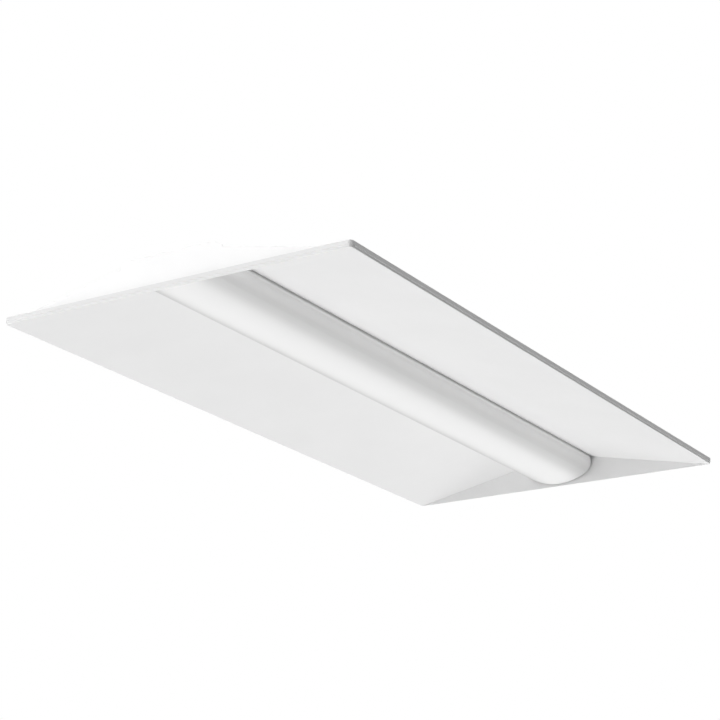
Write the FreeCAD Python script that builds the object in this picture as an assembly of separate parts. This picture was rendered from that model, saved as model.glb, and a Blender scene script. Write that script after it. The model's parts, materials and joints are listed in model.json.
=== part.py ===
import FreeCAD, Part
import math, os

V = FreeCAD.Vector

# Recessed troffer light, nominal 2 ft x 4 ft lay-in size.
# Frame: X across the short side, Y along the long side, Z up.
# z = 0 is the plane of the lip's underside, which lies on the ceiling grid.

# ---------------------------------------------------------------- sizes (mm)
W = 603.25            # overall width, X
L = 1212.85           # overall length, Y
T = 0.6               # reflector and end plate sheet
T_CH = 0.7            # channel sheet
T_TRAY = 0.8          # driver tray, lid and bracket sheet

LIP_H = 10.2          # height of the upturned lip
LIP_STEP_Z = 4.0      # height of the joggle in the lip
LIP_JOG = 1.2         # the lower zone of the lip is set in by this much
LIP_HEM = 2.8         # width of the inward fold along the lip's top
RIM = 3.0             # flat underside between lip and sloped panel
CORNER_WRAP = 8.0     # length of the end plate's lip round each corner
CORNER_R = 6.0        # outer radius of the lip at each corner, in plan
SEAM = 0.4            # open seam between side lip and end lip

PANEL_EDGE_X = 68.3   # inner edge of the sloped side panel
PANEL_EDGE_Z = 46.9   # height of that edge
RETURN_TOP_Z = 52.8   # top of the fold that runs up beside the diffuser
WEB_INSET = 3.4       # inner face of the end plate, in from the lip's face

CH_TOP_Z = 54.0       # inner top of the channel, where the LED boards sit
CH_FLANGE = 17.0      # rail flange lying on the back of each side panel
RAIL_IN = 58.5        # the rail's top flange reaches in to here, under the channel's top

LENS_A = 65.6         # half width of the diffuser below its bead
LENS_ZB = 3.2         # lowest point of the diffuser
LENS_ZC = 36.9        # height where the diffuser's flank turns upright
LENS_R = 23.0         # radius of the rounded flank
LENS_T = 2.0          # diffuser wall
LENS_TOP = 51.6       # top of the diffuser's upright edges
LENS_END_GAP = 3.0    # gap between diffuser end and end plate
BEAD_CUT = 5.0        # the bead stops this far short of the diffuser's ends

TRAY_X, TRAY_Y = 65.0, 190.0   # half sizes of the driver tray
TRAY_H = 31.0                  # height of the tray walls
KO_R = 11.1                    # conduit knockout
HANGER_R = 2.6                 # hanger wire hole

CLIP_Y = 430.0        # grid clips at plus and minus this Y
CLIP_X = 293.0        # where the clip bracket stands on the panel's back
HANGER_X, HANGER_Y = 200.0, 535.0
HANGER_UP = 14.3      # hanger hole above the panel's back

HX, HY = W / 2.0, L / 2.0
LOW_X, LOW_Y = HX - LIP_JOG, HY - LIP_JOG      # outer faces of the lip's lower zone
RIM_X = LOW_X - RIM                            # where the side panel starts
WEB_Y = HY - WEB_INSET                         # inner face of the end plate's web
SLOPE = math.atan2(PANEL_EDGE_Z, RIM_X - PANEL_EDGE_X)
TAN_S, COS_S, SIN_S = math.tan(SLOPE), math.cos(SLOPE), math.sin(SLOPE)


def panel_back(x):
    """Height of the back face of the side panel at a distance x from the middle."""
    return (RIM_X - abs(x)) * TAN_S + T / COS_S


# ---------------------------------------------------------------- helpers
def box(x0, x1, y0, y1, z0, z1):
    return Part.makeBox(x1 - x0, y1 - y0, z1 - z0, V(x0, y0, z0))


def prism_xz(pts, y0, y1):
    w = Part.makePolygon([V(x, y0, z) for x, z in pts] + [V(pts[0][0], y0, pts[0][1])])
    return Part.Face(w).extrude(V(0, y1 - y0, 0))


def prism_yz(pts, x0, x1):
    w = Part.makePolygon([V(x0, y, z) for y, z in pts] + [V(x0, pts[0][0], pts[0][1])])
    return Part.Face(w).extrude(V(x1 - x0, 0, 0))


def sheet(pts, t):
    """Closed outline of a bent sheet: the line pts and its mitred offset by t to the left."""
    nrm = []
    for (ax, az), (bx, bz) in zip(pts[:-1], pts[1:]):
        d = math.hypot(bx - ax, bz - az)
        nrm.append((-(bz - az) / d, (bx - ax) / d))
    off = []
    for i, (x, z) in enumerate(pts):
        n1 = nrm[max(i - 1, 0)]
        n2 = nrm[min(i, len(nrm) - 1)]
        k = t / (1.0 + n1[0] * n2[0] + n1[1] * n2[1])
        off.append((x + (n1[0] + n2[0]) * k, z + (n1[1] + n2[1]) * k))
    return list(pts) + off[::-1]


def cyl(r, h, p, d=(0, 0, 1)):
    return Part.makeCylinder(r, h, V(*p), V(*d))


def fuse(shapes):
    s = shapes[0]
    if len(shapes) > 1:
        s = s.multiFuse(shapes[1:])
    return s.removeSplitter()


def mirror_x(s):
    return s.mirror(V(0, 0, 0), V(1, 0, 0))


def mirror_y(s):
    return s.mirror(V(0, 0, 0), V(0, 1, 0))


def round_box(ox, oy, r, z0, z1):
    """Rectangular block centred on the origin, its upright edges rounded by r."""
    b = box(-ox, ox, -oy, oy, z0, z1)
    if r < 0.05:
        return b
    edges = [e for e in b.Edges if abs(e.Vertexes[0].X - e.Vertexes[1].X) < 1e-6 and abs(e.Vertexes[0].Y - e.Vertexes[1].Y) < 1e-6]
    return b.makeFillet(r, edges)


def ring(ox, oy, ix, iy, z0, z1):
    """Rectangular frame centred on the origin, rounded at its corners about the same four centres."""
    ro = CORNER_R - (HX - ox)
    ri = CORNER_R - (HX - ix)
    return round_box(ox, oy, ro, z0, z1).cut(round_box(ix, iy, max(ri, 0.0), z0 - 1, z1 + 1))


def tube(pts, r):
    """Round lead along straight runs joined by tangent arcs."""
    P = [V(*p) for p in pts]
    edges, here, total = [], P[0], 0.0
    for i in range(1, len(P) - 1):
        a, b = P[i] - P[i - 1], P[i + 1] - P[i]
        turn = a.getAngle(b)
        half = math.tan(turn / 2.0)
        cut = 0.45 * min(a.Length, b.Length)
        rad = cut / half
        u = V(a).normalize()
        v = V(b).normalize()
        s, e = P[i] - u * cut, P[i] + v * cut
        bis = V(v - u).normalize()
        mid = P[i] + bis * (rad / math.cos(turn / 2.0) - rad)
        if (s - here).Length > 1e-6:
            edges.append(Part.LineSegment(here, s).toShape())
            total += (s - here).Length
        edges.append(Part.Arc(s, mid, e).toShape())
        total += rad * turn
        here = e
    edges.append(Part.LineSegment(here, P[-1]).toShape())
    total += (P[-1] - here).Length
    path = Part.Wire(edges)
    d = P[1] - P[0]
    circ = Part.Wire([Part.Circle(P[0], d, r).toShape()])
    s = path.makePipeShell([circ], True, False)
    vol = math.pi * r * r * total
    print("lead length %.1f mm, volume ratio %.4f" % (total, s.Volume / vol))
    return s


def pan_screw(x, y, z, up, head_r, head_h, shank_r, shank_l):
    """Pan head screw: the head stands on z, away from 'up'; the shank runs along 'up'."""
    u = 1.0 if up else -1.0
    head = cyl(head_r, head_h, (x, y, z), (0, 0, -u))
    slot = box(x - head_r - 1, x + head_r + 1, y - 0.4, y + 0.4,
               min(z - u * head_h, z - u * (head_h - 0.7)), max(z - u * head_h, z - u * (head_h - 0.7)))
    slot2 = box(x - 0.4, x + 0.4, y - head_r - 1, y + head_r + 1,
                min(z - u * head_h, z - u * (head_h - 0.7)), max(z - u * head_h, z - u * (head_h - 0.7)))
    rim = cyl(head_r + 2, 3, (x, y, z - u * head_h + u * 1.5), (0, 0, -u)).cut(
        cyl(head_r * 0.62, 5, (x, y, z - u * head_h + u * 2.5), (0, 0, -u)))
    head = head.cut(slot.cut(rim)).cut(slot2.cut(rim))
    shank = cyl(shank_r, shank_l, (x, y, z), (0, 0, u))
    return fuse([head, shank])


parts = {}

# ---------------------------------------------------------------- lip, all round
HEM_X, HEM_Y = HX - LIP_HEM, HY - LIP_HEM
lip_ring = fuse([
    ring(LOW_X, LOW_Y, LOW_X - T, LOW_Y - T, 0.0, LIP_STEP_Z + T),
    ring(HX, HY, LOW_X - T, LOW_Y - T, LIP_STEP_Z, LIP_STEP_Z + T),
    ring(HX, HY, HX - T, HY - T, LIP_STEP_Z, LIP_H),
    ring(HX, HY, HEM_X, HEM_Y, LIP_H - T, LIP_H),
    round_box(LOW_X, LOW_Y, CORNER_R - LIP_JOG, 0.0, T).cut(box(-RIM_X, RIM_X, -WEB_Y, WEB_Y, -1, T + 1)),
])
# the end plate carries the lip round each corner as far as this
Y_SPLIT = HY - CORNER_WRAP

# ---------------------------------------------------------------- side reflectors
panel_line = [(PANEL_EDGE_X, RETURN_TOP_Z), (PANEL_EDGE_X, PANEL_EDGE_Z), (RIM_X, 0.0), (RIM_X + 1.0, 0.0)]
panel = prism_xz(sheet(panel_line, T), -WEB_Y, WEB_Y)
panel = panel.cut(box(RIM_X, HX + 5, Y_SPLIT - SEAM, HY + 5, -1, 2)).cut(
    box(RIM_X, HX + 5, -HY - 5, -Y_SPLIT + SEAM, -1, 2))
side_lip = lip_ring.common(box(RIM_X, HX + 5, -Y_SPLIT + SEAM, Y_SPLIT - SEAM, -1, LIP_H + 1))
reflector_right = fuse([panel, side_lip])

# rivet holes through return and channel wall
RIVET_Y = [-560.0, -336.0, -112.0, 112.0, 336.0, 560.0]
RIVET_Z, RIVET_R = 50.6, 1.2
for y in RIVET_Y:
    reflector_right = reflector_right.cut(cyl(RIVET_R + 0.05, 6, (PANEL_EDGE_X - 2, y, RIVET_Z), (1, 0, 0)))
parts["side_reflector_right"] = reflector_right
parts["side_reflector_left"] = mirror_x(reflector_right)

# ---------------------------------------------------------------- centre channel
cx = PANEL_EDGE_X + T                     # inner face of the channel wall
cz = panel_back(cx)
fl = cx + CH_FLANGE
line = [(fl, panel_back(fl)), (cx, cz), (cx, CH_TOP_Z - T_CH), (RAIL_IN, CH_TOP_Z - T_CH)]
rail = prism_xz(sheet(line, -T_CH), -WEB_Y, WEB_Y)
CH_OUT_Z = CH_TOP_Z + T_CH
channel = box(-cx - T_CH, cx + T_CH, -WEB_Y, WEB_Y, CH_TOP_Z, CH_OUT_Z)
for y in RIVET_Y:
    rail = rail.cut(cyl(RIVET_R + 0.05, 6, (cx - 2, y, RIVET_Z), (1, 0, 0)))
# rivets down through the top and the rails, clear of the driver tray
TOP_RIVET_Y = [-565.0, -455.0, -345.0, -235.0, 235.0, 345.0, 455.0, 565.0]
TOP_RIVET_X = 63.5
for y in TOP_RIVET_Y:
    rail = rail.cut(cyl(RIVET_R + 0.05, 4, (TOP_RIVET_X, y, CH_TOP_Z - 2)))
    for sx in (1, -1):
        channel = channel.cut(cyl(RIVET_R + 0.05, 4, (sx * TOP_RIVET_X, y, CH_TOP_Z - 2)))

# LED boards, two rows of two
BOARD_X, BOARD_W, BOARD_T = 33.0, 24.0, 1.0
BOARD_Y0, BOARD_Y1 = 3.0, 590.0
BOARD_SCREW_Y = [24.0, 299.0, 574.0]
screw_pts = [(sx * (BOARD_X + 8.5), sy * y) for sx in (1, -1) for sy in (1, -1) for y in BOARD_SCREW_Y]
for x, y in screw_pts:
    channel = channel.cut(cyl(1.55, 4, (x, y, CH_TOP_Z - 1)))

# lead hole through the channel top and the tray
BUSH_X, BUSH_Y, BUSH_R = 0.0, 149.0, 9.2
channel = channel.cut(cyl(BUSH_R, 4, (BUSH_X, BUSH_Y, CH_TOP_Z - 1)))
# end plate screws and tray rivets
END_SCREW = [(sx * 40.0, sy * (WEB_Y - 10.5)) for sx in (1, -1) for sy in (1, -1)]
for x, y in END_SCREW:
    channel = channel.cut(cyl(1.75, 4, (x, y, CH_TOP_Z - 1)))
TRAY_RIVET = [(sx * 55.0, sy * 176.0) for sx in (1, -1) for sy in (1, -1)]
for x, y in TRAY_RIVET:
    channel = channel.cut(cyl(1.65, 4, (x, y, CH_TOP_Z - 1)))
# shallow stiffening ribs pressed up across the channel top, clear of the tray
for y in (-520, -430, -340, -250, 250, 340, 430, 520):
    rib = prism_yz([(y - 6, CH_OUT_Z - 0.2), (y - 4, CH_OUT_Z + 1.3), (y + 4, CH_OUT_Z + 1.3), (y + 6, CH_OUT_Z - 0.2)],
                   -52, 52)
    channel = channel.fuse(rib)
GROUND = (-50.0, -168.0)   # ground screw
channel = channel.cut(cyl(2.05, 4, (GROUND[0], GROUND[1], CH_TOP_Z - 1)))
parts["channel_top"] = channel.removeSplitter()
parts["channel_rail_right"] = rail
parts["channel_rail_left"] = mirror_x(rail)

parts["channel_rivets"] = Part.makeCompound([
    fuse([cyl(RIVET_R, T + T_CH, (sx * PANEL_EDGE_X, y, RIVET_Z), (sx, 0, 0)),
          cyl(1.9, 0.9, (sx * (cx + T_CH), y, RIVET_Z), (sx, 0, 0))])
    for sx in (1, -1) for y in RIVET_Y] + [
    fuse([cyl(RIVET_R, 2 * T_CH, (sx * TOP_RIVET_X, y, CH_TOP_Z - T_CH)),
          cyl(1.9, 0.9, (sx * TOP_RIVET_X, y, CH_OUT_Z))])
    for sx in (1, -1) for y in TOP_RIVET_Y])

# ---------------------------------------------------------------- end plates
def back_over(x):
    return panel_back(x) + T

wall_x = cx + T_CH
top_fold = CH_OUT_Z + T
ft = CH_FLANGE + cx + 3.0
# the web's shoulders cover the channel's corners and the rails' feet
web_pts = [(RIM_X, 0.0), (RIM_X, back_over(RIM_X)), (ft, back_over(ft)), (ft, panel_back(ft) + 4.5),
           (wall_x + 5.0, top_fold - 0.9), (wall_x + 2.5, top_fold)]
web_pts = web_pts + [(-x, z) for x, z in web_pts[::-1]]
web = prism_xz(web_pts, WEB_Y, WEB_Y + T)
end_lip = lip_ring.common(box(-HX - 5, HX + 5, Y_SPLIT, HY + 5, -1, LIP_H + 1))
# fold lying on the back of each side panel, and on the channel top
f0, f1 = ft + 1.5, RIM_X - 9.0
fold = prism_xz([(f0, panel_back(f0)), (f1, panel_back(f1)), (f1, back_over(f1)), (f0, back_over(f0))],
                WEB_Y - 15.0, WEB_Y + T)
fold_top = box(-60, 60, WEB_Y - 16.0, WEB_Y + T, CH_OUT_Z, top_fold)
end_rear = fuse([web, end_lip, fold, mirror_x(fold), fold_top])
for x, y in END_SCREW:
    if y > 0:
        end_rear = end_rear.cut(cyl(1.75, 4, (x, y, CH_OUT_Z - 1)))
parts["end_plate_rear"] = end_rear
parts["end_plate_front"] = mirror_y(end_rear)
parts["end_plate_screws"] = Part.makeCompound([
    pan_screw(x, y, top_fold, False, 3.4, 2.2, 1.65, 5.0) for x, y in END_SCREW])

# ---------------------------------------------------------------- diffuser
def lens_curve(inset, zside):
    """Lower curve of the diffuser as three tangent arcs, from left flank to right flank."""
    b = LENS_ZC - LENS_ZB
    c = LENS_A - LENS_R
    R1 = (c * c + b * b - LENS_R ** 2) / (2 * (b - LENS_R))
    r = LENS_R - inset
    R = R1 - inset
    zc1 = LENS_ZB + R1
    d = math.hypot(c, zc1 - LENS_ZC)
    ux, uz = c / d, -(zc1 - LENS_ZC) / d
    tx, tz = ux * R, zc1 + uz * R
    am = (math.atan2(uz, ux) + 0.0) / 2.0
    mx, mz = c + r * math.cos(am), LENS_ZC + r * math.sin(am)
    a = LENS_A - inset
    e = [Part.Arc(V(-a, 0, LENS_ZC), V(-mx, 0, mz), V(-tx, 0, tz)).toShape(),
         Part.Arc(V(-tx, 0, tz), V(0, 0, LENS_ZB + inset), V(tx, 0, tz)).toShape(),
         Part.Arc(V(tx, 0, tz), V(mx, 0, mz), V(a, 0, LENS_ZC)).toShape()]
    return e, a


def line_edges(pts):
    return [Part.LineSegment(V(x0, 0, z0), V(x1, 0, z1)).toShape() for (x0, z0), (x1, z1) in zip(pts[:-1], pts[1:])]


BEAD = [(LENS_A, LENS_ZC), (LENS_A, 40.4), (66.9, 43.2), (66.9, 45.0), (65.2, 45.8), (65.2, LENS_TOP)]
NECK_IN = LENS_A - LENS_T
outer, _ = lens_curve(0.0, 0)
inner, ai = lens_curve(LENS_T, 0)
right_out = line_edges(BEAD)
left_out = line_edges([(-x, z) for x, z in BEAD])
top_r = line_edges([(65.2, LENS_TOP), (NECK_IN, LENS_TOP), (NECK_IN, LENS_ZC)])
top_l = line_edges([(-65.2, LENS_TOP), (-NECK_IN, LENS_TOP), (-NECK_IN, LENS_ZC)])
wire = Part.Wire(Part.__sortEdges__(outer + inner + right_out + left_out + top_r + top_l))
lens_half = WEB_Y - LENS_END_GAP
lens_face = Part.Face(wire)
lens_face.translate(V(0, -lens_half, 0))
lens = lens_face.extrude(V(0, 2 * lens_half, 0))
for sx in (1, -1):
    for sy in (1, -1):
        x0, x1 = sorted([sx * LENS_A, sx * (LENS_A + 4.0)])
        y0, y1 = sorted([sy * (lens_half - BEAD_CUT), sy * (lens_half + 1.0)])
        lens = lens.cut(box(x0, x1, y0, y1, LENS_ZC + 2.0, LENS_TOP - 2.0))
parts["diffuser"] = lens.removeSplitter()

# spring clips that grip the diffuser's upright edges, three a side
def lens_clip(y):
    line = [(PANEL_EDGE_X, 52.6), (PANEL_EDGE_X, 48.3), (PANEL_EDGE_X - 1.0, 47.8), (PANEL_EDGE_X - 2.1, 49.4),
            (PANEL_EDGE_X - 1.3, 51.4)]
    return prism_xz(sheet(line, -0.4), y - 7.0, y + 7.0)


LENS_CLIP_Y = [-450.0, 0.0, 450.0]
clips = [lens_clip(y) for y in LENS_CLIP_Y]
parts["diffuser_clips"] = Part.makeCompound(clips + [mirror_x(c) for c in clips])

# ---------------------------------------------------------------- LED boards
def board(sx, sy):
    x = sx * BOARD_X
    ys = sorted([sy * BOARD_Y0, sy * BOARD_Y1])
    b = box(x - BOARD_W / 2, x + BOARD_W / 2, ys[0], ys[1], CH_TOP_Z - BOARD_T, CH_TOP_Z)
    for px, py in screw_pts:
        if px * sx > 0 and py * sy > 0:
            b = b.cut(cyl(1.7, 4, (px, py, CH_TOP_Z - 2)))
    return b


for name, sx, sy in (("led_board_front_left", -1, -1), ("led_board_front_right", 1, -1),
                     ("led_board_rear_left", -1, 1), ("led_board_rear_right", 1, 1)):
    parts[name] = board(sx, sy)

LED_PITCH, LED_N = 29.0, 20
bz = CH_TOP_Z - BOARD_T
for name, sx in (("led_packages_left", -1), ("led_packages_right", 1)):
    leds = []
    for sy in (1, -1):
        for i in range(LED_N):
            y = sy * (23.5 + LED_PITCH * i)
            x = sx * (BOARD_X - 2.0)
            leds.append(box(x - 1.4, x + 1.4, y - 1.75, y + 1.75, bz - 0.8, bz))
    parts[name] = Part.makeCompound(leds)

parts["board_screws"] = Part.makeCompound([
    pan_screw(x, y, bz, True, 2.8, 1.8, 1.45, BOARD_T + T_CH) for x, y in screw_pts])

CON_Z = bz - 4.2
parts["board_connectors"] = Part.makeCompound([
    box(sx * 24.5 - 4.0, sx * 24.5 + 4.0, 140.0, 160.0, CON_Z, bz) for sx in (1, -1)])
parts["board_links"] = Part.makeCompound([
    box(sx * BOARD_X - 5.0, sx * BOARD_X + 5.0, -11.0, 11.0, bz - 3.0, bz) for sx in (1, -1)])

# ---------------------------------------------------------------- driver tray
tz0 = CH_OUT_Z
tz1 = tz0 + TRAY_H
tb = tz0 + T_TRAY
# folded tray: floor, two long walls, two end walls, and a screw flange along one wall
tray = box(-TRAY_X, TRAY_X, -TRAY_Y, TRAY_Y, tz0, tz1).cut(
    box(-TRAY_X + T_TRAY, TRAY_X - T_TRAY, -TRAY_Y + T_TRAY, TRAY_Y - T_TRAY, tb, tz1 + 1))
FL_IN = 12.0
tray = tray.fuse(box(TRAY_X - FL_IN, TRAY_X, -TRAY_Y + 14, TRAY_Y - 14, tz1 - T_TRAY, tz1))
HX_AX, HZ_AX = -TRAY_X - 3.2, tz1 + 0.2       # lid hinge axis
HINGE_Y = [-125.0, 125.0]
for y in HINGE_Y:
    for s in (-1, 1):
        y0, y1 = sorted([y + s * 7.0, y + s * 8.4])
        ear = fuse([cyl(3.0, y1 - y0, (HX_AX, y0, HZ_AX), (0, 1, 0)),
                    prism_xz([(HX_AX - 2.2, HZ_AX - 2.05), (-TRAY_X + 0.1, HZ_AX - 9.5), (-TRAY_X + 0.1, HZ_AX - 0.4),
                              (HX_AX + 2.2, HZ_AX)], y0, y1)])
        tray = tray.fuse(ear)
for y in HINGE_Y:
    tray = tray.cut(cyl(1.5, 20, (HX_AX, y - 10, HZ_AX), (0, 1, 0)))
# open knockout, and one closed knockout scored into each end wall
KO_Z = tz0 + T_TRAY + 14.8      # room for a locknut inside the tray
KO_X = 38.0
tray = tray.cut(cyl(KO_R, 4, (KO_X, -TRAY_Y - 1, KO_Z), (0, 1, 0)))
def score(x, y, s):
    g = cyl(KO_R, 0.4, (x, y, KO_Z), (0, s, 0)).cut(cyl(KO_R - 0.5, 0.4, (x, y, KO_Z), (0, s, 0)))
    return g.cut(box(x - 1.2, x + 1.2, y - 2, y + 2, KO_Z + KO_R - 2, KO_Z + KO_R + 2))
tray = tray.cut(score(-KO_X, -TRAY_Y, 1)).cut(score(KO_X, TRAY_Y, -1)).cut(score(-KO_X, TRAY_Y, -1))
tray = tray.cut(cyl(BUSH_R, 4, (BUSH_X, BUSH_Y, tz0 - 1)))
for x, y in TRAY_RIVET:
    tray = tray.cut(cyl(1.65, 4, (x, y, tz0 - 1)))
LID_SCREW = [(TRAY_X - 6.0, -110.0), (TRAY_X - 6.0, 110.0)]
for x, y in LID_SCREW:
    tray = tray.cut(cyl(2.3, 4, (x, y, tz1 - 2)))
GX, GY = GROUND
tray = tray.cut(cyl(2.05, 4, (GX, GY, tz0 - 1)))
DRV_X0, DRV_X1, DRV_Y = -52.0, -10.0, 120.0
DRV_Z1 = tb + 21.0
DRV_SCREW = [(-31.0, -126.5), (-31.0, 126.5)]
for x, y in DRV_SCREW:
    tray = tray.cut(cyl(1.75, 1.2, (x, y, tb - 1.0)))
parts["driver_tray"] = tray.removeSplitter()
parts["tray_rivets"] = Part.makeCompound([
    fuse([cyl(1.6, T_TRAY + T_CH + 0.8, (x, y, CH_TOP_Z - 0.8)), cyl(3.2, 1.1, (x, y, tb)),
          cyl(2.4, 0.8, (x, y, CH_TOP_Z - 0.8))]) for x, y in TRAY_RIVET])

# ---------------------------------------------------------------- tray lid
lz0 = tz1 + 0.3
lz1 = lz0 + T_TRAY
lo = 0.5 + T_TRAY
lid = box(-TRAY_X + 0.4, TRAY_X + lo, -TRAY_Y - lo, TRAY_Y + lo, lz0, lz1)
lid = lid.fuse(box(TRAY_X + 0.5, TRAY_X + lo, -TRAY_Y - lo, TRAY_Y + lo, lz0 - 9.0, lz1))
for s in (1, -1):
    y0, y1 = sorted([s * (TRAY_Y + 0.5), s * (TRAY_Y + lo)])
    skirt = box(-TRAY_X + 6.0, TRAY_X + lo, y0, y1, lz0 - 9.0, lz1)
    for x in (-KO_X, KO_X):     # notched clear of the knockouts
        skirt = skirt.cut(box(x - 15.0, x + 15.0, y0 - 1, y1 + 1, lz0 - 10.0, lz0 - 0.6))
    lid = lid.fuse(skirt)
for y in HINGE_Y:
    ear = fuse([cyl(2.6, 12.8, (HX_AX, y - 6.4, HZ_AX), (0, 1, 0)),
                prism_xz([(HX_AX, HZ_AX + 0.5), (HX_AX, lz1 + 1.0), (-TRAY_X + 3, lz1), (-TRAY_X + 3, lz0), (-TRAY_X - 1.0, HZ_AX + 0.2)],
                         y - 6.4, y + 6.4)])
    lid = lid.fuse(ear)
for y in HINGE_Y:
    lid = lid.cut(cyl(1.55, 20, (HX_AX, y - 10, HZ_AX), (0, 1, 0)))
for x, y in LID_SCREW:
    lid = lid.cut(cyl(2.1, 4, (x, y, lz0 - 1)))
# two shallow ribs pressed up along the lid
for x in (-28.0, 28.0):
    lid = lid.fuse(prism_xz([(x - 5, lz1 - 0.2), (x - 3.5, lz1 + 1.2), (x + 3.5, lz1 + 1.2), (x + 5, lz1 - 0.2)], -160, 160))
parts["driver_lid"] = lid.removeSplitter()
parts["lid_screws"] = Part.makeCompound([
    pan_screw(x, y, lz1, False, 4.0, 2.4, 2.0, 3.6) for x, y in LID_SCREW])
parts["lid_hinge_pins"] = Part.makeCompound([
    fuse([cyl(1.5, 18.6, (HX_AX, y - 9.3, HZ_AX), (0, 1, 0)), cyl(2.4, 0.8, (HX_AX, y + 8.5, HZ_AX), (0, 1, 0)),
          cyl(2.4, 0.8, (HX_AX, y - 9.3, HZ_AX), (0, 1, 0))]) for y in HINGE_Y])

# ---------------------------------------------------------------- driver and wiring
drv = box(DRV_X0, DRV_X1, -DRV_Y, DRV_Y, tb, DRV_Z1)
for s in (1, -1):
    y0, y1 = sorted([s * DRV_Y, s * (DRV_Y + 13)])
    drv = drv.fuse(box(-44, -18, y0, y1, tb, tb + 1.0))
for x, y in DRV_SCREW:
    drv = drv.cut(cyl(1.8, 4, (x, y, tb - 1)))
parts["led_driver"] = drv.removeSplitter()
parts["driver_screws"] = Part.makeCompound([
    fuse([cyl(3.3, 2.0, (x, y, tb + 1.0)), cyl(1.65, 1.8, (x, y, tb - 0.8))]) for x, y in DRV_SCREW])

# two-part push-in disconnect, field half and driver half
DZ1 = tb + 13.5
plug = box(8.0, 26.0, -162.0, -138.0, tb, DZ1).cut(box(22.0, 27.0, -159.5, -140.5, tb + 2.5, DZ1 - 2.5))
sock = fuse([box(26.4, 44.0, -162.0, -138.0, tb, DZ1), box(22.4, 26.4, -159.0, -141.0, tb + 3.0, DZ1 - 3.0)])
for y in (-155.0, -145.0):
    sock = sock.cut(cyl(1.6, 12.0, (44.0, y, tb + 6.75), (-1, 0, 0)))
parts["disconnect_plug"] = plug
parts["disconnect_socket"] = sock

parts["ground_screw"] = fuse([
    Part.Face(Part.makePolygon([V(GX + 4.2 * math.cos(math.radians(60 * k)), GY + 4.2 * math.sin(math.radians(60 * k)), tb + 0.8)
                                for k in range(7)])).extrude(V(0, 0, 3.0)),
    cyl(2.0, 3.4, (GX, GY, tb - 2.6))])
ring_t = cyl(4.4, 0.8, (GX, GY, tb)).fuse(box(GX - 1.6, GX + 1.6, GY, GY + 9.0, tb, tb + 0.8))
ring_t = ring_t.fuse(cyl(1.9, 6.0, (GX, GY + 7.0, tb + 1.9), (0, 1, 0)))
ring_t = ring_t.cut(cyl(2.05, 3, (GX, GY, tb - 1))).cut(cyl(1.25, 4.0, (GX, GY + 9.1, tb + 1.9), (0, 1, 0)))
parts["ground_terminal"] = ring_t.removeSplitter()

LEAD_R = 1.1
zl, zo, zc = tb + 7.0, tb + 15.0, bz - 2.5
parts["lead_line"] = tube([(-30.0, -DRV_Y, zl), (-30.0, -145.0, zl), (8.0, -145.0, zl)], LEAD_R)
parts["lead_neutral"] = tube([(-38.0, -DRV_Y, zl), (-38.0, -155.0, zl), (8.0, -155.0, zl)], LEAD_R)
parts["lead_ground"] = tube([(-46.0, -DRV_Y, zl), (-46.0, -133.0, zl), (GX, -147.0, tb + 1.9), (GX, GY + 9.2, tb + 1.9)], LEAD_R)
parts["lead_led_positive"] = tube([(-24.0, DRV_Y, zo), (-24.0, 147.0, zo), (3.0, 147.0, zo), (3.0, 147.0, zc), (20.5, 147.0, zc)], LEAD_R)
parts["lead_led_negative"] = tube([(-36.0, DRV_Y, zo), (-36.0, 151.5, zo), (-3.0, 151.5, zo), (-3.0, 151.5, zc), (-20.5, 151.5, zc)], LEAD_R)
parts["lead_jumper"] = tube([(-20.5, 157.0, zc), (-12.0, 157.0, zc), (0.0, 157.0, zc - 2.5), (12.0, 157.0, zc), (20.5, 157.0, zc)], LEAD_R)
parts["lead_bushing"] = fuse([cyl(BUSH_R - 0.1, T_CH + T_TRAY + 0.8, (BUSH_X, BUSH_Y, CH_TOP_Z - 0.8)),
                              cyl(BUSH_R + 2.0, 1.4, (BUSH_X, BUSH_Y, tb)),
                              cyl(BUSH_R + 0.9, 0.8, (BUSH_X, BUSH_Y, CH_TOP_Z - 0.8))]).cut(
    cyl(BUSH_R - 1.9, 12, (BUSH_X, BUSH_Y, CH_TOP_Z - 4)))

# ---------------------------------------------------------------- grid clips
# Each clip lies flat on the panel's back and flips up and outwards to hook over the grid runner.
PIV_W = 5.0            # pivot above the panel's back
PIN_R = 1.4
ARM = 36.0             # arm length from the pivot
HOOK = 18.0


def local_box(u0, u1, y0, y1, w0, w1):
    """Box in the slope's own frame: u runs up the slope (inboard), w is the normal of the panel's back."""
    return box(u0, u1, y0, y1, w0, w1)


def place(s, y):
    """From the slope's frame at the right side to the object's frame."""
    # u -> (-cos, 0, sin), w -> (sin, 0, cos); a half turn about Z first keeps it right-handed
    s = s.copy()
    s.rotate(V(0, 0, 0), V(0, 0, 1), 180)
    s.rotate(V(0, 0, 0), V(0, 1, 0), math.degrees(SLOPE))
    s.translate(V(CLIP_X, y, panel_back(CLIP_X)))
    return s


def clip_shape():
    arm = local_box(4.0, ARM, -8.6, 8.6, 2.2, 2.2 + T_TRAY)
    hook = local_box(ARM - T_TRAY, ARM, -8.6, 8.6, 2.2, 2.2 + HOOK)
    tip = local_box(ARM - 5.0, ARM, -8.6, 8.6, 2.2 + HOOK - T_TRAY, 2.2 + HOOK)
    out = [arm, hook, tip]
    for s in (1, -1):
        y0, y1 = sorted([s * 7.8, s * 8.6])
        out.append(cyl(3.6, y1 - y0, (0, y0, PIV_W), (0, 1, 0)))
        out.append(prism_xz([(0, PIV_W + 3.6), (0, PIV_W - 2.8), (4.2, 2.2), (9.0, 2.2), (9.0, 4.0)], y0, y1))
    c = fuse(out)
    c = c.cut(cyl(PIN_R + 0.05, 30, (0, -15, PIV_W), (0, 1, 0)))
    # window in the arm
    return c.cut(local_box(12.0, 26.0, -4.5, 4.5, 1.0, 4.0))


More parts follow.
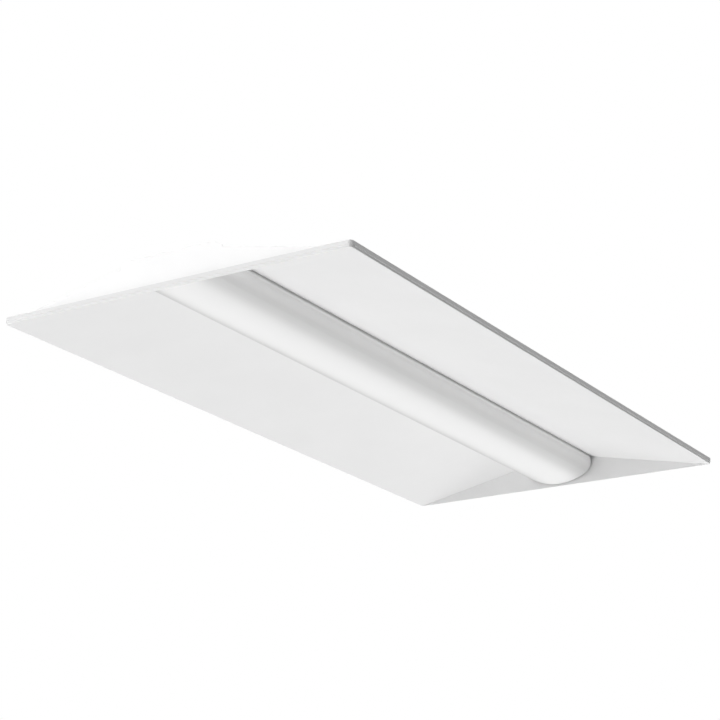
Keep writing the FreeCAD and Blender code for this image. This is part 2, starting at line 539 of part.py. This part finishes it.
def bracket_shape():
    out = [local_box(-3.5, 11.0, -10.4, 10.4, 0.0, T_TRAY)]
    for s in (1, -1):
        y0, y1 = sorted([s * 9.6, s * 10.4])
        out.append(cyl(3.4, y1 - y0, (0, y0, PIV_W), (0, 1, 0)))
        out.append(local_box(-3.4, 3.4, y0, y1, 0.0, PIV_W))
    b = fuse(out)
    return b.cut(cyl(PIN_R, 30, (0, -15, PIV_W), (0, 1, 0)))


def pin_shape():
    return fuse([cyl(PIN_R, 22.4, (0, -11.2, PIV_W), (0, 1, 0)), cyl(2.3, 0.8, (0, 10.4, PIV_W), (0, 1, 0)),
                 cyl(2.3, 0.8, (0, -11.2, PIV_W), (0, 1, 0))])


clip0, brk0, pin0 = clip_shape(), bracket_shape(), pin_shape()
brackets, pins = [], []
for name, sx, sy in (("grid_clip_front_left", -1, -1), ("grid_clip_front_right", 1, -1),
                     ("grid_clip_rear_left", -1, 1), ("grid_clip_rear_right", 1, 1)):
    for shape, kind in ((clip0, "clip"), (brk0, "brk"), (pin0, "pin")):
        s = place(shape, sy * CLIP_Y)
        if sx < 0:
            s = mirror_x(s)
        if kind == "clip":
            parts[name] = s
        elif kind == "brk":
            brackets.append(s)
        else:
            pins.append(s)
parts["clip_brackets"] = Part.makeCompound(brackets)
parts["clip_pins"] = Part.makeCompound(pins)
piv = (CLIP_X + PIV_W * SIN_S, panel_back(CLIP_X) + PIV_W * COS_S)
print("grid clip pivot x %.4f z %.4f, slope %.3f deg" % (piv[0], piv[1], math.degrees(SLOPE)))
print("lid hinge x %.4f z %.4f" % (HX_AX, HZ_AX))

# ---------------------------------------------------------------- hanger brackets
hangers = []
for sx in (1, -1):
    for sy in (1, -1):
        zb = panel_back(HANGER_X)
        b0, b1 = HANGER_X - 9.0, HANGER_X + 9.0
        foot = prism_xz([(b0, panel_back(b0)), (b1, panel_back(b1)), (b1, panel_back(b1) + 0.9), (b0, panel_back(b0) + 0.9)],
                        HANGER_Y - 14.0, HANGER_Y)
        up = prism_xz([(b0, panel_back(b0)), (b1, panel_back(b1)), (b1, zb + 14.8), (b1 - 6.0, zb + 20.8),
                       (b0 + 6.0, zb + 20.8), (b0, zb + 14.8)], HANGER_Y - 0.9, HANGER_Y)
        h = foot.fuse(up).cut(cyl(HANGER_R, 6, (HANGER_X, HANGER_Y - 3, zb + HANGER_UP), (0, 1, 0))).removeSplitter()
        if sx < 0:
            h = mirror_x(h)
        if sy < 0:
            h = mirror_y(h)
        hangers.append(h)
parts["hanger_brackets"] = Part.makeCompound(hangers)
print("hanger hole z %.4f" % (panel_back(HANGER_X) + HANGER_UP))
print("knockout z %.3f, tray z %.3f to %.3f, lid top %.3f" % (KO_Z, tz0, tz1, lz1))

# ---------------------------------------------------------------- write
os.makedirs("parts", exist_ok=True)
total = 0.0
for name in sorted(parts):
    s = parts[name]
    ok = s.isValid() and all(x.isClosed() for sol in s.Solids for x in sol.Shells)
    print("%-24s solids %2d volume %10.1f mm3 valid %s" % (name, len(s.Solids), s.Volume, ok))
    total += s.Volume
    s.exportStep("parts/%s.step" % name)
bb = Part.makeCompound(list(parts.values())).BoundBox
print("nodes %d, box X %.3f..%.3f Y %.3f..%.3f Z %.3f..%.3f" % (len(parts), bb.XMin, bb.XMax, bb.YMin, bb.YMax, bb.ZMin, bb.ZMax))
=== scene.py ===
import bpy, bmesh, math, json
from mathutils import Vector, Matrix


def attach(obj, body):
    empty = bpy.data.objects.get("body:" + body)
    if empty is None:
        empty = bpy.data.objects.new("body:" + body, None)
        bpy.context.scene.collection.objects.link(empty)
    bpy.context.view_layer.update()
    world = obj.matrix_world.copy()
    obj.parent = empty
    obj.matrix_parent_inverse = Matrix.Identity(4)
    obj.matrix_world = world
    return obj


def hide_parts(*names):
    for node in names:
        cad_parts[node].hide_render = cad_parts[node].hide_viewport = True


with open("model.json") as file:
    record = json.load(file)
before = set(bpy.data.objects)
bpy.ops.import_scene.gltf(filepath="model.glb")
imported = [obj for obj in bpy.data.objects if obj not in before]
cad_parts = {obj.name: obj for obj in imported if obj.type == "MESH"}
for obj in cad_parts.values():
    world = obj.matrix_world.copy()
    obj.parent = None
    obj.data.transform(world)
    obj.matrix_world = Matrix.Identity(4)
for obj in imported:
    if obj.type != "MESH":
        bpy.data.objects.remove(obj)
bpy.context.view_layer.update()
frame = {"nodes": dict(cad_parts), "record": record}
SCENE = bpy.context.scene
NODES = frame["nodes"]
BODY_OF = {}
for body_name, node_list in frame["record"]["behaviour"]["bodies"].items():
    for node_name in node_list:
        BODY_OF[node_name] = body_name

MM = 0.001
# driving sizes, mm, as in the solid model
HX, HY = 301.625, 606.425
PANEL_EDGE_X, PANEL_EDGE_Z = 68.3, 46.9
RIM_X = 297.425
WEB_Y = 603.025
SLOPE = math.atan2(PANEL_EDGE_Z, RIM_X - PANEL_EDGE_X)


# ------------------------------------------------------------------ camera
def make_camera():
    """The photograph's viewing angle, solved from the outline of the light: below it, looking up."""
    az, el, roll = math.radians(-32.2582), math.radians(18.8127), math.radians(0.6238)
    dist, target = 3118.20 * MM, Vector((63.7125, -204.6952, 0.0)) * MM
    fwd = Vector((math.cos(el) * math.sin(az), math.cos(el) * math.cos(az), math.sin(el)))
    eye = target - fwd * dist
    right = fwd.cross(Vector((0, 0, 1))).normalized()
    up = right.cross(fwd)
    c, s = math.cos(roll), math.sin(roll)
    r2 = c * right + s * up
    u2 = -s * right + c * up
    cam = bpy.data.cameras.new("camera")
    cam.sensor_fit = "HORIZONTAL"
    cam.sensor_width = 36.0
    cam.lens = 36.0 * 2029.3585 / 720.0
    cam.clip_start, cam.clip_end = 0.05, 100.0
    ob = bpy.data.objects.new("camera", cam)
    ob.matrix_world = Matrix(((r2.x, u2.x, -fwd.x, eye.x), (r2.y, u2.y, -fwd.y, eye.y),
                              (r2.z, u2.z, -fwd.z, eye.z), (0, 0, 0, 1)))
    SCENE.collection.objects.link(ob)
    SCENE.camera = ob
    return ob


camera = make_camera()


# ------------------------------------------------------------------ node helpers
class Mat:
    """Small helper for building one node material."""

    def __init__(self, name):
        self.m = bpy.data.materials.new(name)
        self.m.use_nodes = True
        self.t = self.m.node_tree
        self.t.nodes.clear()
        self.out = self.t.nodes.new("ShaderNodeOutputMaterial")
        self.b = self.t.nodes.new("ShaderNodeBsdfPrincipled")
        self.t.links.new(self.b.outputs[0], self.out.inputs[0])
        self.co = self.t.nodes.new("ShaderNodeTexCoord").outputs["Object"]

    def set(self, **kw):
        for k, v in kw.items():
            self.b.inputs[k.replace("_", " ")].default_value = v
        return self

    def node(self, kind, **kw):
        n = self.t.nodes.new(kind)
        for k, v in kw.items():
            setattr(n, k, v)
        return n

    def link(self, a, b):
        self.t.links.new(a, b)

    def noise(self, scale, detail=3.0, rough=0.5, co=None):
        n = self.node("ShaderNodeTexNoise")
        n.inputs["Scale"].default_value = scale
        n.inputs["Detail"].default_value = detail
        n.inputs["Roughness"].default_value = rough
        self.link(co or self.co, n.inputs["Vector"])
        return n.outputs["Fac"]

    def voronoi(self, scale, feature="F1", out="Distance", co=None):
        n = self.node("ShaderNodeTexVoronoi", feature=feature)
        n.inputs["Scale"].default_value = scale
        self.link(co or self.co, n.inputs["Vector"])
        return n.outputs[out]

    def ramp(self, fac, stops):
        n = self.node("ShaderNodeValToRGB")
        e = n.color_ramp.elements
        e[0].position, e[0].color = stops[0][0], stops[0][1]
        e[1].position, e[1].color = stops[-1][0], stops[-1][1]
        for p, c in stops[1:-1]:
            x = e.new(p)
            x.color = c
        self.link(fac, n.inputs[0])
        return n.outputs[0]

    def rng(self, fac, a, b, lo=0.0, hi=1.0):
        n = self.node("ShaderNodeMapRange")
        n.inputs["From Min"].default_value, n.inputs["From Max"].default_value = lo, hi
        n.inputs["To Min"].default_value, n.inputs["To Max"].default_value = a, b
        self.link(fac, n.inputs["Value"])
        return n.outputs[0]

    def math(self, op, a, b):
        n = self.node("ShaderNodeMath", operation=op)
        for i, v in enumerate((a, b)):
            if isinstance(v, (int, float)):
                n.inputs[i].default_value = v
            else:
                self.link(v, n.inputs[i])
        return n.outputs[0]

    def mapping(self, scale=(1, 1, 1)):
        n = self.node("ShaderNodeMapping")
        n.inputs["Scale"].default_value = scale
        self.link(self.co, n.inputs["Vector"])
        return n.outputs[0]

    def bump(self, height, strength, distance):
        n = self.node("ShaderNodeBump")
        n.inputs["Strength"].default_value = strength
        n.inputs["Distance"].default_value = distance
        self.link(height, n.inputs["Height"])
        self.link(n.outputs[0], self.b.inputs["Normal"])
        return n.outputs[0]


def grey(v, warm=0.0):
    return (v + warm, v, v - warm, 1.0)


def white_paint(name, value, rough=0.45, peel=0.25, warm=0.0):
    """Baked white enamel: fine orange peel, faint cloudiness in tone and gloss."""
    m = Mat(name)
    cloud = m.noise(9.0, 2.0)
    peel_h = m.noise(1400.0, 2.0, 0.55)
    m.link(m.ramp(cloud, [(0.3, grey(value * 0.988, warm)), (0.7, grey(value * 1.012, warm))]), m.b.inputs["Base Color"])
    m.link(m.rng(m.noise(60.0, 3.0), rough - 0.05, rough + 0.05), m.b.inputs["Roughness"])
    m.bump(peel_h, peel, 0.00005)
    m.set(Specular_IOR_Level=0.45)
    return m.m


def galvanised(name, value=0.62):
    """Zinc coated sheet with soft spangle."""
    m = Mat(name)
    cell = m.voronoi(95.0, "F1", "Color")
    sep = m.node("ShaderNodeSeparateColor")
    m.link(cell, sep.inputs[0])
    tone = m.math("ADD", m.math("MULTIPLY", sep.outputs[0], 0.55), m.math("MULTIPLY", m.noise(420.0, 4.0), 0.45))
    m.link(m.ramp(tone, [(0.15, (value * 0.88, value * 0.90, value * 0.92, 1)), (0.85, (value * 1.10, value * 1.11, value * 1.12, 1))]),
           m.b.inputs["Base Color"])
    m.link(m.rng(tone, 0.42, 0.56), m.b.inputs["Roughness"])
    m.bump(m.noise(700.0, 3.0), 0.12, 0.00006)
    m.set(Metallic=0.85)
    return m.m


def plated(name, col=(0.70, 0.70, 0.71), rough=0.3):
    """Zinc plated or bright steel with fine turning marks."""
    m = Mat(name)
    n = m.noise(2600.0, 2.0)
    m.link(m.ramp(n, [(0.3, (col[0] * 0.93, col[1] * 0.93, col[2] * 0.93, 1)), (0.7, (col[0] * 1.05, col[1] * 1.05, col[2] * 1.05, 1))]),
           m.b.inputs["Base Color"])
    m.link(m.rng(m.noise(900.0, 3.0), rough - 0.06, rough + 0.08), m.b.inputs["Roughness"])
    m.bump(n, 0.08, 0.00003)
    m.set(Metallic=1.0)
    return m.m


def moulded(name, col, rough=0.4, grain=0.15, scale=1500.0, sss=0.0):
    """Moulded plastic with a fine spark-eroded grain."""
    m = Mat(name)
    n = m.noise(scale, 3.0)
    lo = tuple(c * 0.95 for c in col) + (1,)
    hi = tuple(min(1.0, c * 1.04 + 0.003) for c in col) + (1,)
    m.link(m.ramp(m.noise(220.0, 3.0), [(0.3, lo), (0.7, hi)]), m.b.inputs["Base Color"])
    m.link(m.rng(n, rough - 0.05, rough + 0.07), m.b.inputs["Roughness"])
    m.bump(n, grain, 0.00004)
    if sss:
        m.set(Subsurface_Weight=sss, Subsurface_Scale=0.004, Subsurface_Radius=(1.0, 1.0, 1.0))
    return m.m


PAINT = 0.78
M = {
    "reflector": white_paint("reflector_enamel", PAINT, 0.46, 0.22),
    "plate_out": white_paint("end_plate_outside", 0.95, 0.55, 0.18, 0.0),
    "channel": white_paint("channel_prepaint", 0.86, 0.50, 0.20, 0.0),
    "galv": galvanised("galvanised_sheet"),
    "zinc": plated("zinc_plated"),
    "spring": plated("spring_steel", (0.60, 0.60, 0.61), 0.26),
    "board": moulded("board_mask_white", (0.86, 0.86, 0.84), 0.34, 0.05, 3000.0),
    "led_cup": moulded("led_cup_white", (0.88, 0.88, 0.86), 0.30, 0.05, 4000.0),
    "phosphor": moulded("led_phosphor", (0.86, 0.62, 0.10), 0.22, 0.04, 5000.0),
    "driver": white_paint("driver_case_paint", 0.80, 0.38, 0.10, 0.0),
    "orange": moulded("connector_orange", (0.86, 0.25, 0.03), 0.34, 0.12),
    "conn": moulded("connector_white", (0.84, 0.84, 0.81), 0.36, 0.12),
    "w_black": moulded("lead_black", (0.020, 0.020, 0.021), 0.42, 0.10, 2500.0),
    "w_white": moulded("lead_white", (0.80, 0.80, 0.77), 0.42, 0.10, 2500.0),
    "w_green": moulded("lead_green", (0.02, 0.26, 0.06), 0.42, 0.10, 2500.0),
    "w_red": moulded("lead_red", (0.52, 0.02, 0.02), 0.42, 0.10, 2500.0),
    "nylon": moulded("bushing_nylon", (0.025, 0.025, 0.026), 0.45, 0.15),
    "ground": plated("ground_screw_green", (0.06, 0.42, 0.14), 0.34),
    "tinned": plated("tinned_copper", (0.72, 0.70, 0.67), 0.30),
}


# tone of the acrylic across the diffuser, lighter in the middle and at the flanks, with painted shade darkening both
# shoulders, the left one more: (distance to the right of the middle, mm, tone)
ACRYLIC_TONE_PAINTED_SHADE = [(-70.0, 0.920), (-66.0, 0.915), (-63.5, 0.790), (-61.0, 0.660), (-57.0, 0.570), (-50.0, 0.550), (-44.0, 0.575), (-40.0, 0.605), (-36.0, 0.648),
                (-33.0, 0.690), (-30.0, 0.729), (-27.0, 0.754), (-24.0, 0.776), (-21.0, 0.799), (-17.0, 0.822), (-12.0, 0.841), (-6.0, 0.855), (0.0, 0.863),
                (8.0, 0.868), (16.0, 0.869), (22.0, 0.866), (27.0, 0.857), (32.0, 0.838), (37.0, 0.800), (42.0, 0.742),
                (47.0, 0.690), (52.0, 0.662), (57.0, 0.672), (61.0, 0.750), (63.5, 0.848), (66.0, 0.915), (70.0, 0.920)]


def acrylic():
    """Frosted white acrylic: satin surface. Its tone across the trough is fitted to how dark it looks, not measured:
    the darker shoulders are painted shade.
    """
    m = Mat("diffuser_acrylic")
    sep = m.node("ShaderNodeSeparateXYZ")
    m.link(m.co, sep.inputs[0])
    across = m.rng(sep.outputs["X"], 0.0, 1.0, -0.070, 0.070)
    # painted shade: the acrylic's white is darkened towards both shoulders, following the tone table across the
    # diffuser's X
    tone_with_painted_shade = m.ramp(across, [((x + 70.0) / 140.0, grey(v)) for x, v in ACRYLIC_TONE_PAINTED_SHADE])
    cloud = m.ramp(m.noise(14.0, 2.0), [(0.3, (0.992, 0.992, 0.990, 1)), (0.7, (1.0, 1.0, 0.998, 1))])
    mix = m.node("ShaderNodeMix", data_type="RGBA", blend_type="MULTIPLY")
    mix.inputs[0].default_value = 1.0
    m.link(tone_with_painted_shade, mix.inputs[6])
    m.link(cloud, mix.inputs[7])
    m.link(mix.outputs[2], m.b.inputs["Base Color"])
    m.link(m.rng(m.noise(1800.0, 3.0), 0.46, 0.54), m.b.inputs["Roughness"])
    m.bump(m.noise(2200.0, 2.0), 0.10, 0.00003)
    m.set(Subsurface_Weight=0.2, Subsurface_Scale=0.004, Specular_IOR_Level=0.3, Subsurface_Radius=(1.0, 1.0, 1.0))
    return m.m


M["acrylic"] = acrylic()


# ------------------------------------------------------------------ mesh helpers
def add_mesh(name, bm, mats, body, replaces=(), smooth_angle=30.0):
    me = bpy.data.meshes.new(name)
    bm.normal_update()
    bm.to_mesh(me)
    bm.free()
    for mm in mats:
        me.materials.append(mm)
    for p in me.polygons:
        p.use_smooth = True
    me.set_sharp_from_angle(angle=math.radians(smooth_angle))
    ob = bpy.data.objects.new(name, me)
    SCENE.collection.objects.link(ob)
    wn = ob.modifiers.new("weighted", "WEIGHTED_NORMAL")
    wn.mode, wn.weight, wn.keep_sharp = "FACE_AREA", 90, True
    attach(ob, body)
    if replaces:
        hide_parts(*replaces)
    return ob


def refine(node, mat, bevel=0.18, seg=2, angle=32.0, pick=None, mats=None, radii=None):
    """Copy of a solid's mesh with its flat faces merged and its edges eased.
    radii: list of (bevel mm, segments, test(edge)); the first test that fits an edge wins, others get bevel."""
    src = NODES[node]
    bm = bmesh.new()
    bm.from_mesh(src.data)
    bm.transform(src.matrix_world)
    bmesh.ops.remove_doubles(bm, verts=bm.verts, dist=2e-6)
    bmesh.ops.dissolve_limit(bm, angle_limit=math.radians(0.6), verts=bm.verts, edges=bm.edges, use_dissolve_boundaries=False)
    lim = math.radians(angle)
    tag = bm.edges.layers.int.new("cls")
    tests = list(radii or [])
    for e in bm.edges:
        e[tag] = -1
        if len(e.link_faces) == 2 and e.calc_face_angle(0.0) > lim:
            e[tag] = len(tests)
            for k, (_, _, test) in enumerate(tests):
                if test(e):
                    e[tag] = k
                    break
    for k, (r, n) in enumerate([(t[0], t[1]) for t in tests] + [(bevel, seg)]):
        if not r:
            continue
        edges = [e for e in bm.edges if e[tag] == k and len(e.link_faces) == 2 and e.calc_face_angle(0.0) > lim]
        if edges:
            bmesh.ops.bevel(bm, geom=edges, offset=r * MM, offset_type="OFFSET", segments=n, profile=0.5,
                            affect="EDGES", clamp_overlap=True)
    bmesh.ops.triangulate(bm, faces=[f for f in bm.faces if len(f.verts) > 4])
    if pick:
        bm.normal_update()
        for f in bm.faces:
            f.material_index = pick(f)
    return add_mesh(node + "_v", bm, mats or [mat], BODY_OF[node], (node,))


# ------------------------------------------------------------------ diffuser
def arc(cx, cz, r, a0, a1, n):
    return [(cx + r * math.cos(a0 + (a1 - a0) * i / n), cz + r * math.sin(a0 + (a1 - a0) * i / n)) for i in range(n + 1)]


def lens_half_profile(inset):
    """Lower right half of the diffuser's curve, from the middle to the upright flank."""
    A, ZB, ZC, R = 65.6, 3.2, 36.9, 23.0
    b, c = ZC - ZB, A - R
    R1 = (c * c + b * b - R * R) / (2 * (b - R))
    z1 = ZB + R1
    ang = math.atan2(-(z1 - ZC), c)
    big = arc(0, z1, R1 - inset, -math.pi / 2, ang, 26)
    small = arc(c, ZC, R - inset, ang, 0.0, 26)
    return big + small[1:]


def build_diffuser():
    outer = lens_half_profile(0.0) + [(65.6, 40.4), (65.85, 41.2), (66.55, 42.5), (66.9, 43.2), (66.9, 44.7),
                                      (66.75, 45.05), (65.5, 45.7), (65.2, 45.95), (65.2, 51.3), (64.9, 51.6)]
    inner = lens_half_profile(2.0) + [(63.6, 51.35), (63.85, 51.6)]
    right = outer + inner[::-1]                       # from outer middle, up, over, back to inner middle
    loop = right + [(-x, z) for x, z in right[::-1][1:-1]]
    half = (WEB_Y - 3.0) * MM
    cut = half - 5.0 * MM                             # the bead stops short of the ends
    bm = bmesh.new()
    ys = [-half, -half + 0.0003, -cut - 0.0001, -cut + 0.0001, cut - 0.0001, cut + 0.0001, half - 0.0003, half]
    rings = []
    for k, y in enumerate(ys):
        e = 0.15 if k in (0, 7) else 0.0
        bead = 2 < k < 5
        ring = []
        n = len(loop)
        line = loop if bead else [(math.copysign(min(abs(x), 65.6), x), z) for x, z in loop]
        for i, (x, z) in enumerate(line):
            if e:
                (ax, az), (bx, bz) = line[i - 1], line[(i + 1) % n]
                d = math.hypot(bx - ax, bz - az) or 1.0
                nx, nz = (bz - az) / d, -(bx - ax) / d
                x, z = x - nx * e, z - nz * e
            ring.append(bm.verts.new((x * MM, y, z * MM)))
        rings.append(ring)
    n = len(loop)
    for a, b in zip(rings[:-1], rings[1:]):
        for i in range(n):
            j = (i + 1) % n
            bm.faces.new((a[i], a[j], b[j], b[i]))
    # end faces: strips between the outer and the inner curve
    m = len(right)
    no, ni = len(outer), len(inner)
    for ring, flip in ((rings[0], False), (rings[-1], True)):
        f = bm.faces.new(ring if flip else ring[::-1])
    bmesh.ops.recalc_face_normals(bm, faces=bm.faces)
    bmesh.ops.triangulate(bm, faces=[f for f in bm.faces if len(f.verts) > 4])
    return add_mesh("diffuser_v", bm, [M["acrylic"]], "diffuser_body", ("diffuser",), 24.0)


build_diffuser()

# ------------------------------------------------------------------ sheet metal
def lip_edge(e, z, inset, tol=0.06):
    """True for an edge of the lip that runs round the light at height z, this far in from its outer face."""
    for v in e.verts:
        x, y = abs(v.co.x) * 1000, abs(v.co.y) * 1000
        if abs(v.co.z * 1000 - z) > tol:
            return False
        r, cx, cy = 6.0 - inset, HX - 6.0, HY - 6.0
        if x > cx and y > cy:
            if abs(math.hypot(x - cx, y - cy) - r) > tol:
                return False
        elif abs(x - (HX - inset)) > tol and abs(y - (HY - inset)) > tol:
            return False
    return True


LIP_RADII = [
    (0.55, 3, lambda e: lip_edge(e, 0.0, 1.2)),       # bend under the lip
    (0.55, 3, lambda e: lip_edge(e, 10.2, 0.0)),      # bend of the hem
    (0.30, 2, lambda e: lip_edge(e, 4.0, 0.0)),       # lower edge of the upper zone
    (0.25, 2, lambda e: lip_edge(e, 4.0, 1.2)),       # inside of the joggle
]


def panel_edge(e):
    return all(abs(abs(v.co.x) * 1000 - PANEL_EDGE_X) < 0.05 and abs(v.co.z * 1000 - PANEL_EDGE_Z) < 0.05 for v in e.verts)


for side in ("right", "left"):
    refine("side_reflector_" + side, M["reflector"], 0.12, radii=LIP_RADII + [(0.5, 3, panel_edge)])


def plate_side(f):
    c, n = f.calc_center_median(), f.normal
    return 1 if (abs(n.y) > 0.9 and abs(c.y) * 1000 > WEB_Y + 0.3 and abs(c.y) * 1000 < WEB_Y + 0.9 and c.z > 0.006) else 0


for side in ("front", "rear"):
    refine("end_plate_" + side, M["reflector"], 0.12, pick=plate_side, mats=[M["reflector"], M["plate_out"]], radii=LIP_RADII)
for n in ("channel_top", "channel_rail_left", "channel_rail_right"):
    refine(n, M["channel"], 0.14)
for n in ("driver_tray", "driver_lid", "clip_brackets", "hanger_brackets"):
    refine(n, M["galv"], 0.14)
for n in NODES:
    if n.startswith("grid_clip"):
        refine(n, M["galv"], 0.14)
for n in ("end_plate_screws", "channel_rivets", "board_screws", "tray_rivets", "lid_screws", "lid_hinge_pins", "driver_screws", "clip_pins"):
    refine(n, M["zinc"], 0.22)
refine("diffuser_clips", M["spring"], 0.08)
for n in ("led_board_front_left", "led_board_front_right", "led_board_rear_left", "led_board_rear_right"):
    refine(n, M["board"], 0.08)


def islands(me):
    """Bounding boxes of the separate solids of a mesh, in metres."""
    parent = list(range(len(me.vertices)))

    def find(a):
        while parent[a] != a:
            parent[a] = parent[parent[a]]
            a = parent[a]
        return a

    keys = {}
    for v in me.vertices:
        k = (round(v.co.x * 1e6), round(v.co.y * 1e6), round(v.co.z * 1e6))
        parent[find(v.index)] = find(keys.setdefault(k, v.index))
    for e in me.edges:
        parent[find(e.vertices[0])] = find(e.vertices[1])
    out = {}
    for v in me.vertices:
        lo, hi = out.setdefault(find(v.index), (Vector(v.co), Vector(v.co)))
        for i in range(3):
            lo[i], hi[i] = min(lo[i], v.co[i]), max(hi[i], v.co[i])
    return list(out.values())


def led_packages(node):
    """Each package: a white cup with a round well of phosphor, facing down."""
    bm = bmesh.new()
    for lo, hi in islands(NODES[node].data):
        c = (lo + hi) / 2
        hx, hy, b = (hi.x - lo.x) / 2, (hi.y - lo.y) / 2, 0.00012
        n = 20
        ring_in, ring_lo = [], []
        for k in range(n):
            a = 2 * math.pi * (k + 0.5) / n
            r = 0.00112
            ring_in.append(bm.verts.new((c.x + r * math.cos(a), c.y + r * math.sin(a), lo.z)))
            r = 0.00104
            ring_lo.append(bm.verts.new((c.x + r * math.cos(a), c.y + r * math.sin(a), lo.z + 0.00012)))
        # rounded rectangle with as many points as the well
        outer, outer_up, top = [], [], []
        for k in range(n):
            a = 2 * math.pi * (k + 0.5) / n
            m = max(abs(math.cos(a)) / (hx - b), abs(math.sin(a)) / (hy - b))
            x, y = math.cos(a) / m, math.sin(a) / m
            outer.append(bm.verts.new((c.x + x, c.y + y, lo.z)))
            m = max(abs(math.cos(a)) / hx, abs(math.sin(a)) / hy)
            x, y = math.cos(a) / m, math.sin(a) / m
            outer_up.append(bm.verts.new((c.x + x, c.y + y, lo.z + b)))
            top.append(bm.verts.new((c.x + x, c.y + y, hi.z)))
        for k in range(n):
            j = (k + 1) % n
            for a, d in ((ring_lo, ring_in), (ring_in, outer), (outer, outer_up), (outer_up, top)):
                bm.faces.new((a[k], a[j], d[j], d[k]))
        well = bm.faces.new(ring_lo)
        well.material_index = 1
        bm.faces.new(top[::-1])
    bmesh.ops.recalc_face_normals(bm, faces=bm.faces)
    return add_mesh(node + "_v", bm, [M["led_cup"], M["phosphor"]], BODY_OF[node], (node,))


for n in ("led_packages_left", "led_packages_right"):
    led_packages(n)
for n in ("board_connectors", "board_links"):
    refine(n, M["conn"], 0.3)
refine("led_driver", M["driver"], 0.5, 3)
refine("disconnect_plug", M["orange"], 0.4)
refine("disconnect_socket", M["orange"], 0.4)
refine("ground_screw", M["ground"], 0.25)
refine("ground_terminal", M["tinned"], 0.12)
refine("lead_bushing", M["nylon"], 0.3)
for n, k in (("lead_line", "w_black"), ("lead_neutral", "w_white"), ("lead_ground", "w_green"), ("lead_led_positive", "w_red"),
             ("lead_led_negative", "w_black"), ("lead_jumper", "w_white")):
    refine(n, M[k], 0.0)


# ------------------------------------------------------------------ floor, world, lights
FLOOR_GLOW = 0.64   # keeps the plain floor pale where the soft lights don't reach it; it lights nothing


def floor():
    bm = bmesh.new()
    s, z = 60.0, -9.0
    vs = [bm.verts.new(p) for p in ((-s, -s, z), (s, -s, z), (s, s, z), (-s, s, z))]
    bm.faces.new(vs)
    me = bpy.data.meshes.new("floor")
    bm.to_mesh(me)
    bm.free()
    m = Mat("floor_pale")
    m.link(m.ramp(m.noise(2.0, 2.0), [(0.3, grey(0.80)), (0.7, grey(0.82))]), m.b.inputs["Base Color"])
    m.set(Roughness=0.9, Specular_IOR_Level=0.1, Emission_Color=(1.0, 1.0, 1.0, 1.0), Emission_Strength=FLOOR_GLOW)
    me.materials.append(m.m)
    ob = bpy.data.objects.new("floor", me)
    ob.visible_diffuse = ob.visible_glossy = False
    SCENE.collection.objects.link(ob)


floor()

# softboxes all round, aimed at the light: (azimuth, elevation, distance m, size m, watts); azimuth 0 is the -Y side, 90 is +X
LIGHTS = [
    (315, -55, 8.0, 5.0, 304.0),
    (270, -55, 8.0, 5.0, 126.0),
    (0, 80, 8.0, 5.0, 380.0),
    (90, -30, 8.0, 5.0, 91.0),
    (180, -8, 8.0, 5.0, 224.0),
    (315, -8, 8.0, 5.0, 224.0),
    (0, 18, 8.0, 5.0, 264.0),
    (210, -30, 8.0, 5.0, 60.0),
    (135, -30, 8.0, 5.0, 49.0),
    (180, -55, 8.0, 5.0, 44.0),
    (135, -8, 8.0, 5.0, 21.0),
    (180, -82, 8.0, 5.0, 66.0),
]


def make_lights():
    for k, (az, el, dist, size, watts) in enumerate(LIGHTS):
        li = bpy.data.lights.new("softbox_%02d" % k, "AREA")
        li.shape = "SQUARE"
        li.size = size
        li.energy = watts
        ob = bpy.data.objects.new(li.name, li)
        a, e = math.radians(az), math.radians(el)
        ob.location = Vector((math.cos(e) * math.sin(a), -math.cos(e) * math.cos(a), math.sin(e))) * dist
        ob.rotation_euler = (-ob.location).to_track_quat("-Z", "Y").to_euler()
        ob.visible_camera = False
        SCENE.collection.objects.link(ob)


make_lights()


WORLD_FILL = 0.180
FLOOR_SEEN = 0.78


def make_world():
    """Soft white fill. What the camera sees is white above and the floor's pale tone at and below the horizon."""
    w = bpy.data.worlds.new("studio")
    w.use_nodes = True
    t = w.node_tree
    t.nodes.clear()
    out = t.nodes.new("ShaderNodeOutputWorld")
    fill = t.nodes.new("ShaderNodeBackground")
    fill.name = "fill"
    fill.inputs[0].default_value = (1, 1, 1, 1)
    fill.inputs[1].default_value = WORLD_FILL
    seen = t.nodes.new("ShaderNodeBackground")
    co = t.nodes.new("ShaderNodeTexCoord")
    sep = t.nodes.new("ShaderNodeSeparateXYZ")
    ramp = t.nodes.new("ShaderNodeMapRange")
    ramp.interpolation_type = "SMOOTHSTEP"
    ramp.inputs["From Min"].default_value, ramp.inputs["From Max"].default_value = -0.02, 0.11
    ramp.inputs["To Min"].default_value, ramp.inputs["To Max"].default_value = FLOOR_SEEN, 1.0
    t.links.new(co.outputs["Generated"], sep.inputs[0])
    t.links.new(sep.outputs["Z"], ramp.inputs["Value"])
    seen.inputs[0].default_value = (1, 1, 1, 1)
    t.links.new(ramp.outputs[0], seen.inputs[1])
    path = t.nodes.new("ShaderNodeLightPath")
    mix = t.nodes.new("ShaderNodeMixShader")
    t.links.new(path.outputs["Is Camera Ray"], mix.inputs[0])
    t.links.new(fill.outputs[0], mix.inputs[1])
    t.links.new(seen.outputs[0], mix.inputs[2])
    t.links.new(mix.outputs[0], out.inputs[0])
    SCENE.world = w


make_world()
SCENE.view_settings.view_transform = "Standard"
SCENE.view_settings.look = "None"
